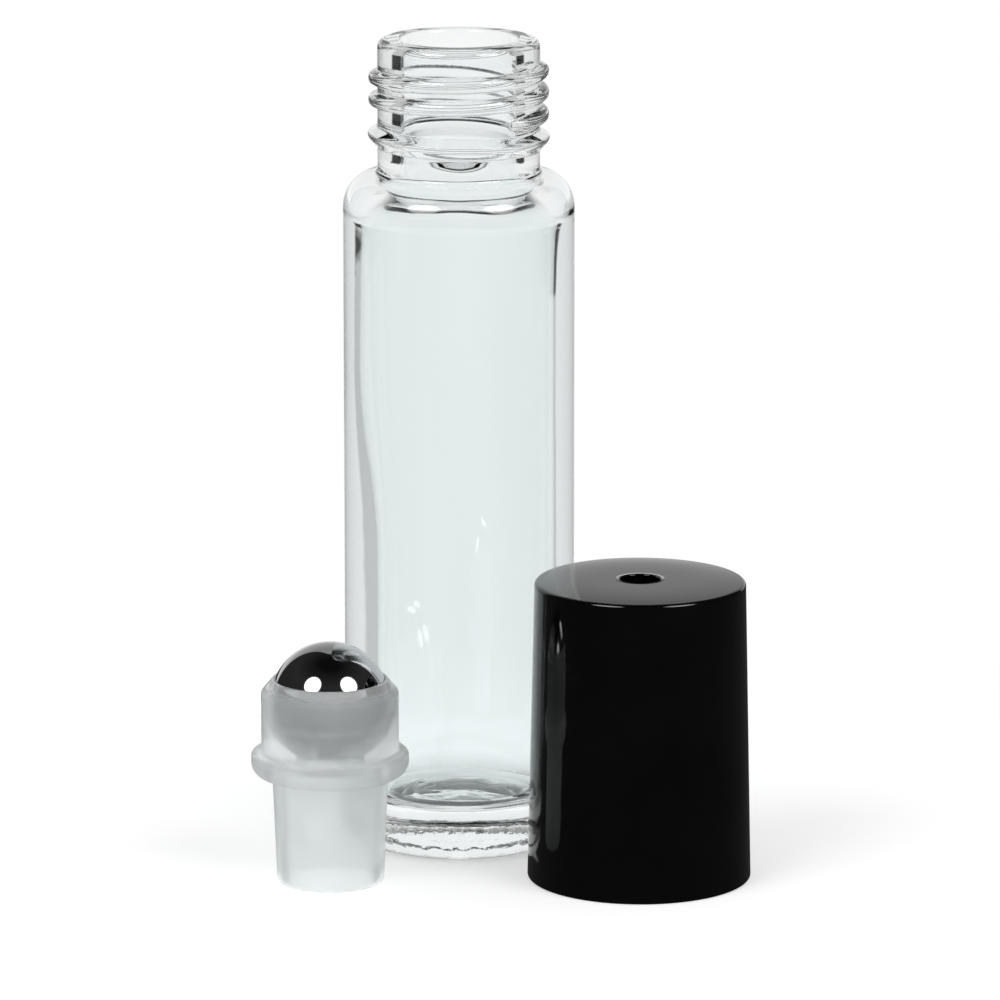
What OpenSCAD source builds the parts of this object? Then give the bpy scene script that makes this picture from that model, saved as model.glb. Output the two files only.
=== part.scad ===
// Roll on bottle: a glass bottle, its roller fitment and its screw cap,
// standing side by side with the bottle open.
// Millimetres, +Z up, origin at the centre of the bottle's foot.

/* [Glass bottle] */
// Outer diameter of the body
body_d = 20; // [19:0.5:24]
// Height from the foot to the rim
bottle_h = 70.7; // [50:0.1:100]
// Height of the neck, from the top of the shoulder to the rim
neck_h = 11.6; // [11:0.1:16]
// Outer diameter of the plain neck
neck_d = 14; // [13:0.1:15]
// Diameter of the bore through the neck
bore_d = 10; // [9:0.1:10.6]
// Thickness of the body's wall
wall_t = 1.55; // [1:0.05:2.2]
// Thickness of the glass under the inner floor, above the foot
floor_t = 4.2; // [3:0.1:7]
// Thickness of the glass in the shoulder
shoulder_t = 2; // [1.4:0.1:2.8]
// Radius of the rounded heel
heel_r = 2; // [1:0.1:3]
// Diameter of the hollow under the foot
punt_d = 12.4; // [8:0.1:13]
// Depth of the hollow under the foot
punt_h = 0.7; // [0.3:0.1:1.5]
// Radius between the wall and the floor inside
floor_r = 1.4; // [1:0.1:5]
// Radius between the wall and the shoulder inside
crown_r = 0.9; // [0.6:0.1:2]
// Radius where the bore opens into the body
throat_r = 1; // [0.2:0.1:1]
// Radius at the root of the neck
root_r = 0.4; // [0.2:0.1:0.8]
// Outer radius of the rim
rim_r = 0.8; // [0.3:0.1:1]
// Inner radius of the rim
mouth_r = 0.35; // [0.1:0.05:0.5]

/* [Neck thread] */
// Height of the thread's ridge over the plain neck
ridge_h = 0.8; // [0.6:0.05:1.2]
// Rise of the thread in one turn
thread_pitch = 1.9; // [1.7:0.05:2.1]
// Turns of the thread on the neck
thread_turns = 2.2; // [1.5:0.1:2.4]
// Width of a thread ridge where it leaves the neck
ridge_w = 1.3; // [0.8:0.05:1.4]
// Distance from the rim down to the thread's upper end
thread_drop = 2.6; // [2:0.1:3]
// Height of the bead under the thread over the plain neck
bead_h = 0.9; // [0.4:0.05:1]
// Height of the bead's upper slope
bead_top_h = 0.6; // [0.4:0.05:0.8]
// Height of the bead's edge
bead_edge_h = 0.3; // [0.1:0.05:0.5]
// Height of the bead's lower slope
bead_low_h = 0.95; // [0.6:0.05:1.2]
// Distance from the thread's lower end down to the bead's edge
bead_drop = 1.5; // [1.4:0.1:1.8]

/* [Roller ball] */
// Diameter of the ball
ball_d = 10.2; // [9.6:0.1:10.6]
// Gap between the ball and its socket
ball_gap = 0.08; // [0.03:0.01:0.1]

/* [Roller housing] */
// Length of the plug, from its end to the flange
plug_l = 9.3; // [6:0.1:12]
// Gap between the top of the plug and the bottle's bore
plug_gap = 0.05; // [0.02:0.01:0.2]
// Narrowing of the plug's radius over its length
plug_draft = 0.36; // [0.1:0.02:0.6]
// Thickness of the plug's wall
plug_wall_t = 0.9; // [0.7:0.05:1.2]
// Diameter of the flange
flange_d = 13.5; // [13:0.1:14]
// Thickness of the flange
flange_h = 2.1; // [1.8:0.1:3.4]
// Radius of the flange's lower edge
flange_low_r = 1.2; // [0.4:0.1:1.2]
// Radius of the flange's upper edge
flange_top_r = 0.35; // [0.1:0.05:0.4]
// Height of the ball's centre above the flange's seat
ball_seat_h = 6.46; // [6.2:0.02:7.6]
// Height of the cup's lip above the ball's centre
lip_h = 2; // [1.6:0.1:2.4]
// Thickness of the cup's wall at the ball's middle
cup_wall_t = 0.7; // [0.5:0.05:0.9]
// Height of the sloping shoulder of the cup
cup_slope_h = 1; // [0.5:0.1:1.4]
// Width of the flat top of the lip
lip_w = 0.15; // [0.1:0.05:0.3]
// Diameter of the hole that feeds the ball
feed_d = 5; // [3:0.1:6]
// Thickness of the web round the feed hole
web_t = 1.1; // [0.8:0.1:1.4]
// Radius of small moulded edges
edge_r = 0.25; // [0.1:0.05:0.35]

/* [Screw cap] */
// Thickness of the cap's wall at its rim
cap_wall_t = 1.45; // [1.2:0.05:2.2]
// Gap between the cap and the neck's thread, bead and ridges
thread_gap = 0.25; // [0.15:0.05:0.4]
// Gap between the cap's upper bore and the flange
cap_bore_gap = 0.35; // [0.2:0.05:0.6]
// Narrowing of the cap's radius over its height
cap_draft = 0.56; // [0.2:0.02:1]
// Thickness of the cap's top at its middle
cap_top_t = 2.25; // [2:0.05:3]
// Height of the top's middle over its edge
cap_dome_h = 0.2; // [0.05:0.05:0.3]
// Radius of the cap's top edge
cap_edge_r = 0.35; // [0.2:0.05:1.2]
// Radius between the wall and the ceiling inside the cap
cap_corner_r = 0.9; // [0.4:0.1:1.2]
// Height of the ring inside that holds the ball down
seal_h = 1.1; // [0.5:0.1:1.4]
// Outer diameter of the ring inside
seal_d = 4.4; // [3.6:0.1:5]
// Thickness of the ring inside
seal_t = 0.6; // [0.4:0.1:0.9]
// Gap between the closed cap's ring and the ball
seal_gap = 0.04; // [0.02:0.01:0.1]
// Gap between the closed cap's rim and the top of the shoulder
cap_foot_gap = 0.1; // [0.1:0.1:0.6]
// Distance from the bottle's rim down to the step in the closed cap
cap_step_drop = 0.9; // [0.6:0.1:1.2]
// Chamfer at the cap's mouth
cap_mouth_c = 0.3; // [0.1:0.05:0.5]
// Diameter of the gate dimple
dimple_d = 3.5; // [2:0.1:5]
// Depth of the gate dimple
dimple_h = 1.4; // [0.8:0.05:1.6]
// Radius of the dimple's upper edge
dimple_edge_r = 0.15; // [0.05:0.05:0.3]
// Radius at the dimple's foot
dimple_foot_r = 0.4; // [0.1:0.05:0.5]
// Turns of the thread inside the cap
cap_turns = 1.5; // [1:0.1:1.6]
// Width of the ridge inside the cap
cap_ridge_w = 1.05; // [0.7:0.05:1.1]

/* [Layout] */
// Gap between the bottle and the standing cap
cap_stand_gap = 0.8; // [0.5:0.1:10]
// Direction of the standing cap, in degrees
cap_angle = -40.5; // [-60:0.5:0]
// Gap between the bottle and the standing fitment
housing_stand_gap = 1.5; // [0.5:0.1:10]
// Direction of the standing fitment, in degrees
housing_angle = -127; // [-180:0.5:-110]
// Direction of the neck thread's lower end, in degrees
thread_angle = -50; // [-180:5:180]

/* [Hidden] */
$fn = 96;

// Steps in an outline's arc, along the cap's domed top, in one turn of a thread and across its ridge
arc_n = 8;
dome_n = 6;
turn_n = 36;
crest_n = 6;
// Turn over which a ridge fades in and out, and the part of it left at its ends
fade_a = 24;
fade_share = 0.1;
// Depth to which a ridge is sunk in its wall
sink_t = 0.3;
// Turn from the neck thread's lower end to that of the cap's thread
cap_thread_a = 120;

// Bottle
body_r = body_d / 2;
neck_r = neck_d / 2;
bore_r = bore_d / 2;
punt_r = punt_d / 2;
cave_r = body_r - wall_t;
shoulder_r = body_r - neck_r;
shoulder_top = bottle_h - neck_h;
shoulder_z = shoulder_top - shoulder_r;
ceiling_z = shoulder_top - shoulder_t;
thread_z = bottle_h - thread_drop - thread_pitch * thread_turns;
bead_z = thread_z - bead_drop;

// Roller fitment, standing on its plug
ball_r = ball_d / 2;
socket_r = ball_r + ball_gap;
cup_r = socket_r + cup_wall_t;
plug_r = bore_r - plug_gap;
plug_end_r = plug_r - plug_draft;
flange_r = flange_d / 2;
flange_top = plug_l + flange_h;
ball_z = plug_l + ball_seat_h;
lip_z = ball_z + lip_h;
lip_r = sqrt(socket_r * socket_r - lip_h * lip_h) + lip_w;
feed_r = feed_d / 2;
web_z = ball_z - sqrt(socket_r * socket_r - feed_r * feed_r) - web_t;

// Cap, standing on its rim; closed, that rim is at cap_shut_z on the bottle
cap_bore_r = neck_r + max(ridge_h, bead_h) + thread_gap;
cap_upper_r = max(flange_r, neck_r) + cap_bore_gap;
cap_r = cap_bore_r + cap_wall_t;
cap_shut_z = shoulder_top + cap_foot_gap;
cap_step_z = bottle_h - cap_shut_z - cap_step_drop;
seal_r = seal_d / 2;
seal_in_r = seal_r - seal_t;
seal_z = bottle_h - cap_shut_z + ball_seat_h + sqrt(ball_r * ball_r - seal_in_r * seal_in_r) + seal_gap;
cap_ceiling_z = seal_z + seal_h;
cap_h = cap_ceiling_z + cap_top_t;
cap_top_r = cap_r - cap_draft;
cap_ridge_h = cap_bore_r - neck_r - thread_gap;
cap_thread_z = thread_z + thread_pitch * (cap_thread_a / 360 - 1 / 2) - cap_shut_z;
cap_flat_r = cap_top_r - cap_edge_r;
cap_edge_z = cap_h - cap_dome_h;
dimple_r = dimple_d / 2;
dimple_z = cap_h - dimple_h;

// Places on the table
cap_distance = body_r + cap_r + cap_stand_gap;
housing_distance = body_r + flange_r + housing_stand_gap;

// Points of an arc about [x, y], from angle a to angle b
function arc(x, y, r, a, b) = [
    for (i = [0:arc_n]) [
        x + r * cos(a + (b - a) * i / arc_n),
        y + r * sin(a + (b - a) * i / arc_n)
    ]
];

// Outline of the shallow dome under the foot, from the axis to its edge
function dome(r, h) =
    let (big_r = (r * r + h * h) / (2 * h), a = asin(r / big_r))
    arc(0, h - big_r, big_r, 90, 90 - a);

// Half of the cap's domed top, from its edge inwards to the dimple. It falls with the fourth power of
// the distance from the axis, so it is nearly flat in the middle.
function cap_dome(r_out, r_in) = [
    for (i = [0:dome_n])
        let (r = r_out + (r_in - r_out) * i / dome_n)
        [r, cap_h - cap_dome_h * pow(r / r_out, 4)]
];

// How much of a ridge stands at turn a of a thread that is whole_a long
function ridge_part(a, whole_a) =
    fade_share + (1 - fade_share) * sin(90 * min(1, a / fade_a, (whole_a - a) / fade_a));

// One round-topped helical ridge on a wall of radius r.
// side is 1 on the outside of a wall and -1 on the inside of a bore.
module ridge(r, side, h, w, turns, a0, z0) {
    n = ceil(turns * turn_n);
    m = crest_n + 1;
    whole_a = turns * 360;
    points = [
        for (i = [0:n], j = [0:crest_n])
            let (
                a = whole_a * i / n,
                u = side * (2 * j / crest_n - 1),
                top = (h + sink_t) * ridge_part(a, whole_a) * sqrt(1 - u * u),
                q = r + side * (top - sink_t)
            )
            [q * cos(a0 + a), q * sin(a0 + a), z0 + thread_pitch * a / 360 + u * w / 2]
    ];
    skin = [
        for (i = [0:n - 1], j = [0:crest_n])
            let (p = i * m + j, q = i * m + (j + 1) % m)
            each [[p, q, q + m], [p, q + m, p + m]]
    ];
    first_end = [for (k = [1:crest_n - 1]) [0, k + 1, k]];
    last_end = [for (k = [1:crest_n - 1]) [n * m, n * m + k, n * m + k + 1]];
    polyhedron(points = points, faces = concat(skin, first_end, last_end));
}

// Half section of the bottle, out along the foot, up to the rim and down inside
module bottle_outline() {
    root_z = shoulder_z + sqrt(shoulder_r * shoulder_r + 2 * shoulder_r * root_r);
    root_a = atan2(root_z - shoulder_z, root_r);
    polygon(concat(
        dome(punt_r, punt_h),
        arc(body_r - heel_r, heel_r, heel_r, -90, 0),
        arc(neck_r, shoulder_z, shoulder_r, 0, root_a),
        arc(neck_r + root_r, root_z, root_r, 180 + root_a, 180),
        arc(neck_r - rim_r, bottle_h - rim_r, rim_r, 0, 90),
        arc(bore_r + mouth_r, bottle_h - mouth_r, mouth_r, 90, 180),
        arc(bore_r + throat_r, ceiling_z + throat_r, throat_r, 180, 270),
        arc(cave_r - crown_r, ceiling_z - crown_r, crown_r, 90, 0),
        arc(cave_r - floor_r, floor_t + floor_r, floor_r, 0, -90),
        [[0, floor_t]]
    ));
}

module bead_outline() {
    polygon([
        [neck_r - sink_t, bead_z - bead_edge_h - bead_low_h],
        [neck_r, bead_z - bead_edge_h - bead_low_h],
        [neck_r + bead_h, bead_z - bead_edge_h],
        [neck_r + bead_h, bead_z],
        [neck_r, bead_z + bead_top_h],
        [neck_r - sink_t, bead_z + bead_top_h]
    ]);
}

// Half section of the housing, without the ball's socket
module housing_outline() {
    polygon(concat(
        [[plug_end_r - plug_wall_t, 0]],
        arc(plug_end_r - edge_r, edge_r, edge_r, -90, 0),
        [[plug_r, plug_l]],
        arc(flange_r - flange_low_r, plug_l + flange_low_r, flange_low_r, -90, 0),
        arc(flange_r - flange_top_r, flange_top - flange_top_r, flange_top_r, 0, 90),
        arc(cup_r + edge_r, flange_top + edge_r, edge_r, 270, 180),
        arc(cup_r - edge_r, lip_z - cup_slope_h - edge_r, edge_r, 0, 45),
        [
            [lip_r, lip_z],
            [feed_r, lip_z],
            [feed_r, web_z],
            [plug_r - plug_wall_t, web_z]
        ]
    ));
}

// Half section of the cap, up its outside and down inside
module cap_outline() {
    polygon(concat(
        arc(cap_r - edge_r, edge_r, edge_r, -90, 0),
        arc(cap_flat_r, cap_edge_z - cap_edge_r, cap_edge_r, 0, 90),
        cap_dome(cap_flat_r, dimple_r + dimple_edge_r),
        arc(dimple_r + dimple_edge_r, cap_h - dimple_edge_r, dimple_edge_r, 90, 180),
        arc(dimple_r - dimple_foot_r, dimple_z + dimple_foot_r, dimple_foot_r, 0, -90),
        [
            [0, dimple_z],
            [0, cap_ceiling_z],
            [seal_in_r, cap_ceiling_z],
            [seal_in_r, seal_z],
            [seal_r, seal_z],
            [seal_r, cap_ceiling_z]
        ],
        arc(cap_upper_r - cap_corner_r, cap_ceiling_z - cap_corner_r, cap_corner_r, 90, 0),
        [
            [cap_upper_r, cap_step_z + cap_bore_r - cap_upper_r],
            [cap_bore_r, cap_step_z],
            [cap_bore_r, cap_mouth_c],
            [cap_bore_r + cap_mouth_c, 0]
        ]
    ));
}

// Carries what follows to its place on the table
module stand(distance, angle) {
    translate([distance * cos(angle), distance * sin(angle), 0]) children();
}

module glass_bottle() {
    color([0.84, 0.90, 0.88]) union() {
        rotate_extrude() bottle_outline();
        rotate_extrude() bead_outline();
        ridge(neck_r, 1, ridge_h, ridge_w, thread_turns, thread_angle, thread_z);
    }
}

module roller_housing() {
    color([0.86, 0.90, 0.92]) stand(housing_distance, housing_angle) difference() {
        rotate_extrude() housing_outline();
        translate([0, 0, ball_z]) sphere(r = socket_r);
    }
}

module roller_ball() {
    color([0.62, 0.62, 0.63]) stand(housing_distance, housing_angle)
        translate([0, 0, ball_z]) sphere(r = ball_r);
}

module screw_cap() {
    color([0.06, 0.06, 0.06]) stand(cap_distance, cap_angle) union() {
        rotate_extrude() cap_outline();
        ridge(cap_bore_r, -1, cap_ridge_h, cap_ridge_w, cap_turns,
            thread_angle + cap_thread_a, cap_thread_z);
    }
}

glass_bottle();
roller_housing();
roller_ball();
screw_cap();
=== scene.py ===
"""Looks of the roll on bottle: clear glass, a milky roller fitment with a steel ball and a black cap."""

import math

import bpy
import numpy as np
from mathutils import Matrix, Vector


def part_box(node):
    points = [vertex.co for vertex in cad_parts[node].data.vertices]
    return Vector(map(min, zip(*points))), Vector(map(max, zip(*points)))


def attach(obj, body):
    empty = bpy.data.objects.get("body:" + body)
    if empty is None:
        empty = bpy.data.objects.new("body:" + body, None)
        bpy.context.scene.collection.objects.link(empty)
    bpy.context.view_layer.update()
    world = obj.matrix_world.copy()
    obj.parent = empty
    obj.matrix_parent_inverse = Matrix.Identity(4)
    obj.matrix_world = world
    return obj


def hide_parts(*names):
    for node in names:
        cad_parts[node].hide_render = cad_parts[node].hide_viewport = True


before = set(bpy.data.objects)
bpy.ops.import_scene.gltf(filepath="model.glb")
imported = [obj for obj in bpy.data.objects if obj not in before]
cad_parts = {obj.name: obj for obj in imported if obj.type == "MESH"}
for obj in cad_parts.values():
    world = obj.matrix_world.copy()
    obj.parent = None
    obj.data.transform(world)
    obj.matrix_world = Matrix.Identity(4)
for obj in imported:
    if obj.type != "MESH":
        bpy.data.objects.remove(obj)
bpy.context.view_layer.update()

MM = 0.001


# Where the pieces stand, in millimetres


def box_mm(node):
    """Lowest and highest corners of a CAD node, in millimetres."""
    low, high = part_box(node)
    return np.array(low) / MM, np.array(high) / MM


def centre_mm(node):
    """Centre of a CAD node seen from above, in millimetres."""
    low, high = box_mm(node)
    return (low + high)[:2] / 2


def width_mm(node):
    """Size of a CAD node from left to right, in millimetres."""
    low, high = box_mm(node)
    return high[0] - low[0]


# Bottle, in millimetres
BODY_R = width_mm("glass_bottle") / 2
BOTTLE_H = box_mm("glass_bottle")[1][2]
BORE_R = 5.0
NECK_H = 11.6
NECK_R = 7.0
WALL_T = 1.55
FLOOR_T = 4.2
SHOULDER_T = 2.1
HEEL_R = 2.0
PUNT_R = 6.2
PUNT_H = 0.7
FLOOR_FILLET_R = 1.4
ROOT_R = 0.4
RIM_R = 0.8
MOUTH_R = 0.35
SHOULDER_R = BODY_R - NECK_R
SHOULDER_TOP = BOTTLE_H - NECK_H
SHOULDER_Z = SHOULDER_TOP - SHOULDER_R
CAVE_R = BODY_R - WALL_T
FLOOR_FLAT_R = CAVE_R - FLOOR_FILLET_R

# Funnel inside the shoulder, from the round crown at the wall to the throat under the bore
FUNNEL_SLOPE = 32.0
FUNNEL_TURN = math.radians(FUNNEL_SLOPE)
CROWN_R = 2.4
THROAT_R = 4.0
FUNNEL_Z = SHOULDER_TOP - SHOULDER_T
FUNNEL_RUN = CAVE_R - BORE_R - (CROWN_R + THROAT_R) * (1 - math.sin(FUNNEL_TURN))
CROWN_Z = FUNNEL_Z - CROWN_R * math.cos(FUNNEL_TURN)
THROAT_Z = FUNNEL_Z + FUNNEL_RUN * math.tan(FUNNEL_TURN) + THROAT_R * math.cos(FUNNEL_TURN)

# Unevenness of the wall, the shoulder and the floor inside, which calms down at the crown and the bore
WALL_WAVE = 0.05
WALL_SEED = 4
CALM_H = 4.0
SHOULDER_WAVE = 0.06
SHOULDER_WAVE_L = 4.0
SHOULDER_SEED = 7
CALM_R = 0.4
FLOOR_WAVE = 0.10
FLOOR_WAVE_L = 3.0
FLOOR_SEED = 9

# Grain round the heel
HEEL_WAVE = 0.02
HEEL_SEED = 5

# Thicker side of the wall, which eases out between two heights
THICK_SIDE = 180.0
THICK_WIDTH = 45.0
THICK_T = 0.6
THICK_LOW = 26.0
THICK_HIGH = 42.0

# Round crease in the floor inside, a little off the axis
CREASE_AT = 0.9
CREASE_R = 5.05
CREASE_W = 0.3
CREASE_H = 0.25

# Neck thread and bead
RIDGE_H = 0.8
RIDGE_W = 1.3
PITCH = 1.9
TURNS = 2.2
THREAD_DROP = 2.6
THREAD_ANGLE = -50.0
BEAD_H = 0.9
BEAD_TOP_H = 0.6
BEAD_EDGE_H = 0.3
BEAD_LOW_H = 0.95
BEAD_DROP = 1.5
ROOT_BLEND = 0.12
BEAD_BLEND = 0.3
FINISH_TILT = math.radians(1.3)
THREAD_RISE = 0.12
THREAD_Z = BOTTLE_H - THREAD_DROP - PITCH * TURNS
BEAD_Z = THREAD_Z - BEAD_DROP
LEAN_H = NECK_R * math.tan(FINISH_TILT)
RELIEF_LOW = BEAD_Z - BEAD_EDGE_H - BEAD_LOW_H - LEAN_H - ROOT_BLEND
RELIEF_HIGH = BOTTLE_H - THREAD_DROP + THREAD_RISE + RIDGE_W / 2 + LEAN_H + ROOT_BLEND

# Threads: squareness of the section, rise and bluntness of the ends, and the share of the width there
RIDGE_POWER = 2.4
FADE_ANGLE = 24.0
NOSE = 0.7
END_WIDTH_SHARE = 0.35

# Roller fitment
BALL_R = width_mm("roller_ball") / 2
BALL_Z = box_mm("roller_ball")[0][2] + BALL_R
BALL_GAP = 0.08
SOCKET_R = BALL_R + BALL_GAP
FLANGE_R = width_mm("roller_housing") / 2
LIP_Z = box_mm("roller_housing")[1][2]
LIP_H = LIP_Z - BALL_Z
LIP_W = 0.15
LIP_IN_R = math.sqrt(SOCKET_R**2 - LIP_H**2)
LIP_R = LIP_IN_R + LIP_W
CUP_WALL = 0.7
CUP_R = SOCKET_R + CUP_WALL
CUP_SLOPE_H = 1.0
PLUG_L = 9.3
PLUG_R = 4.95
PLUG_END_R = 4.59
PLUG_WALL = 0.9
FLANGE_H = 2.1
FLANGE_LOW_R = 1.2
FLANGE_TOP_R = 0.35
FLANGE_TOP = PLUG_L + FLANGE_H
FEED_R = 2.5
WEB_T = 1.1
SOCKET_FOOT_Z = BALL_Z - math.sqrt(SOCKET_R**2 - FEED_R**2)
WEB_Z = SOCKET_FOOT_Z - WEB_T
EDGE_R = 0.25
BEND_ANGLE = 45.0

# The fitment's outline is a ring, and its last point stands this far off its first
RING_GAP = 0.02

# The rows of the ball end at this angle, just short of its poles
POLE_ANGLE = 89.0

# Cap
CAP_R = width_mm("screw_cap") / 2
CAP_H = box_mm("screw_cap")[1][2]
CAP_WALL = 1.45
CAP_BORE_R = CAP_R - CAP_WALL
CAP_UPPER_R = 7.35
CAP_TAPER = 0.56
CAP_TOP_R = CAP_R - CAP_TAPER
CAP_TOP_T = 2.25
CAP_DOME_H = 0.2
CAP_DOME_POWER = 4
CAP_EDGE_R = 0.35
CAP_EDGE_Z = CAP_H - CAP_DOME_H
CAP_FLAT_R = CAP_TOP_R - CAP_EDGE_R
CAP_CORNER_R = 0.9
CAP_CEILING_Z = CAP_H - CAP_TOP_T
CAP_STEP_Z = 10.6
CAP_STEP_TOP = CAP_STEP_Z + CAP_BORE_R - CAP_UPPER_R
CAP_MOUTH_C = 0.3
SEAL_R = 2.2
SEAL_IN_R = 1.6
SEAL_H = 1.1
SEAL_Z = CAP_CEILING_Z - SEAL_H
DIMPLE_R = 1.75
DIMPLE_H = 1.4
DIMPLE_EDGE_R = 0.15
DIMPLE_FOOT_R = 0.4
DIMPLE_Z = CAP_H - DIMPLE_H
DIMPLE_MOUTH_R = DIMPLE_R + DIMPLE_EDGE_R

# Thread inside the cap, which starts some way round from the neck's and lies half a pitch off it
CAP_TURNS = 1.5
CAP_RIDGE_W = 1.05
CAP_RIDGE_GAP = 0.25
CAP_RIDGE_H = CAP_BORE_R - NECK_R - CAP_RIDGE_GAP
CAP_TURN = 120.0
CAP_FOOT_GAP = 0.1
CAP_THREAD_ANGLE = THREAD_ANGLE + CAP_TURN
CAP_THREAD_Z = THREAD_Z + PITCH * (CAP_TURN / 360 - 1 / 2) - SHOULDER_TOP - CAP_FOOT_GAP

# Segments round each piece
BOTTLE_SEGMENTS = 240
FITMENT_SEGMENTS = 160
CAP_SEGMENTS = 200

# Steps along the straight stretches of an outline, from the closest to the widest
THREAD_STEP = 0.06
CAP_THREAD_STEP = 0.07
LIP_STEP = 0.08
FOOT_STEP = 0.12
NARROW_STEP = 0.15
RIM_STEP = 0.2
FLOOR_STEP = 0.25
RING_STEP = 0.3
MIDDLE_STEP = 0.4
CUP_STEP = 0.5
PLUG_STEP = 0.6
CAP_WALL_STEP = 1.0
BORE_STEP = 1.5
CAVE_STEP = 3.0
WALL_STEP = 4.0

# Closer steps at both ends of a straight stretch, for those that are long enough
END_STEP = 0.06
LIP_END_STEP = 0.02
END_MULTIPLES = (1, 3, 8)
END_CLEAR = 2.2

# Parts of an arc, and points of the cap's dome
BEND_PARTS = 5
EDGE_PARTS = 6
FILLET_PARTS = 8
DOME_PARTS = 10
RIM_PARTS = 12
CAP_EDGE_PARTS = 14
CAVE_PARTS = 16
HEEL_PARTS = 18
SHOULDER_PARTS = 22
SOCKET_PARTS = 28
BALL_PARTS = 120
CAP_DOME_POINTS = 26

# Neighbours on an outline that lie closer than this are one point
SAME_POINT = 1e-4


# Outlines, as rows of (distance from the axis, height)


def line(p, q, step, end_step=END_STEP):
    """Points from p to q about a step apart, with closer ones near both ends so that it shades flat."""
    p, q = np.array(p, float), np.array(q, float)
    length = np.linalg.norm(q - p)
    count = max(2, round(length / step) + 1)
    at = set(np.linspace(0, length, count))
    for k in END_MULTIPLES:
        if k * end_step < length / END_CLEAR:
            at |= {k * end_step, length - k * end_step}
    return [tuple(p + (q - p) * t / length) for t in sorted(at)]


def arc(x, z, r, a, b, parts):
    """Points of an arc about (x, z), from angle a to angle b, in degrees."""
    turn = np.radians(np.linspace(a, b, parts + 1))
    return [(x + r * math.cos(t), z + r * math.sin(t)) for t in turn]


def cap_dome():
    """The cap's top, from its dimple out to its edge, which falls with a power of the distance."""
    distances = np.linspace(DIMPLE_MOUTH_R, CAP_FLAT_R, CAP_DOME_POINTS)
    return [(r, CAP_H - CAP_DOME_H * (r / CAP_FLAT_R) ** CAP_DOME_POWER) for r in distances]


def chain(*stretches):
    """Joins named stretches into one outline. Gives its points and the rows of each name."""
    points, spans = [], {}
    for name, stretch in stretches:
        begun = len(points)
        for p in stretch:
            if not points or math.dist(points[-1], p) > SAME_POINT:
                points.append(p)
        spans[name] = slice(begun, len(points))
    return np.array(points), spans


def quads_between(low, high, segments):
    """Quads between rows low[i] and high[i] of a grid that closes on itself."""
    j = np.arange(segments)
    k = (j + 1) % segments
    a, b = low[:, None] * segments, high[:, None] * segments
    return np.stack([a + j, a + k, b + k, b + j], axis=-1).reshape(-1, 4)


def new_mesh(name, points, faces):
    """A piece with smooth shading, from points in metres and the faces between them."""
    mesh = bpy.data.meshes.new(name)
    mesh.from_pydata(points, [], faces)
    mesh.validate()
    mesh.polygons.foreach_set("use_smooth", [True] * len(mesh.polygons))
    mesh.update()
    piece = bpy.data.objects.new(name, mesh)
    bpy.context.scene.collection.objects.link(piece)
    return piece


def revolve(name, outline, centre, segments, shape=None, ring=False):
    """A closed surface of revolution about a vertical axis. shape(r, z, angle) may move its points.
    An outline that isn't a ring starts and ends on the axis."""
    angle = np.linspace(0, 2 * math.pi, segments, endpoint=False)[None, :]
    r = np.repeat(outline[:, :1], segments, axis=1)
    z = np.repeat(outline[:, 1:], segments, axis=1)
    if shape:
        r, z = shape(r, z, np.degrees(angle))
    x = centre[0] + r * np.cos(angle)
    y = centre[1] + r * np.sin(angle)
    grid = np.stack([x, y, z], axis=-1) * MM
    count = len(outline)
    if ring:
        rows = np.arange(count)
        points = grid.reshape(-1, 3)
        faces = quads_between(rows, np.roll(rows, -1), segments).tolist()
    else:
        body = grid[1:-1].reshape(-1, 3)
        points = np.vstack([body, grid[0].mean(axis=0), grid[-1].mean(axis=0)])
        rows = np.arange(count - 2)
        faces = quads_between(rows[:-1], rows[1:], segments).tolist()
        j = np.arange(segments)
        k = (j + 1) % segments
        top = (count - 3) * segments
        faces += [[len(body), int(b), int(a)] for a, b in zip(j, k)]
        faces += [[len(body) + 1, int(top + a), int(top + b)] for a, b in zip(j, k)]
    piece = new_mesh(name, points.tolist(), faces)

    # An outline that runs clockwise makes faces that look inwards
    across, up = outline.T
    if np.sum(across * np.roll(up, -1) - np.roll(across, -1) * up) < 0:
        piece.data.flip_normals()
    return piece


# Relief

# How many waves stand round a piece, the second number not among them, and how much they lean upwards
WAVES_ROUND = (2, 9)
WAVES_LEAN = 1.6

# How many grains stand round the body, as shares of the most
GRAIN_SHARES = (0.3, 1.0)


def ridge(z, angle, height, width, turns, start_angle, start_z):
    """Height of a helical ridge over a wall, at each point."""
    reach = turns * 360
    relief = np.zeros(np.broadcast(z, angle).shape)
    for turn in range(math.ceil(turns) + 1):
        along = (angle - start_angle) % 360 + 360 * turn
        ends = np.minimum(along, reach - along) / FADE_ANGLE
        stand = np.sin(np.radians(90 * np.clip(ends, 0, 1))) ** NOSE
        half = width / 2 * (END_WIDTH_SHARE + (1 - END_WIDTH_SHARE) * stand)
        u = (z - start_z - PITCH * along / 360) / half
        bump = height * stand * np.sqrt(np.clip(1 - np.abs(u) ** RIDGE_POWER, 0, None))
        relief = np.maximum(relief, bump)
    return relief


def smaller(a, b, k):
    """The smaller of two heights, rounded where they cross."""
    h = np.clip(0.5 + 0.5 * (b - a) / k, 0, 1)
    return b + (a - b) * h - k * h * (1 - h)


def larger(a, b, k):
    """The larger of two heights, rounded where they cross."""
    return -smaller(-a, -b, k)


def bead(z):
    """Height of the bead over the neck."""
    up = BEAD_H * (1 - (z - BEAD_Z) / BEAD_TOP_H)
    down = BEAD_H * (1 - (BEAD_Z - BEAD_EDGE_H - z) / BEAD_LOW_H)
    return smaller(smaller(up, down, BEAD_BLEND), BEAD_H, BEAD_BLEND)


def ease(value, low, high):
    """0 below low, 1 above high and smooth between them."""
    t = np.clip((value - low) / (high - low), 0, 1)
    return t * t * (3 - 2 * t)


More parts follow.
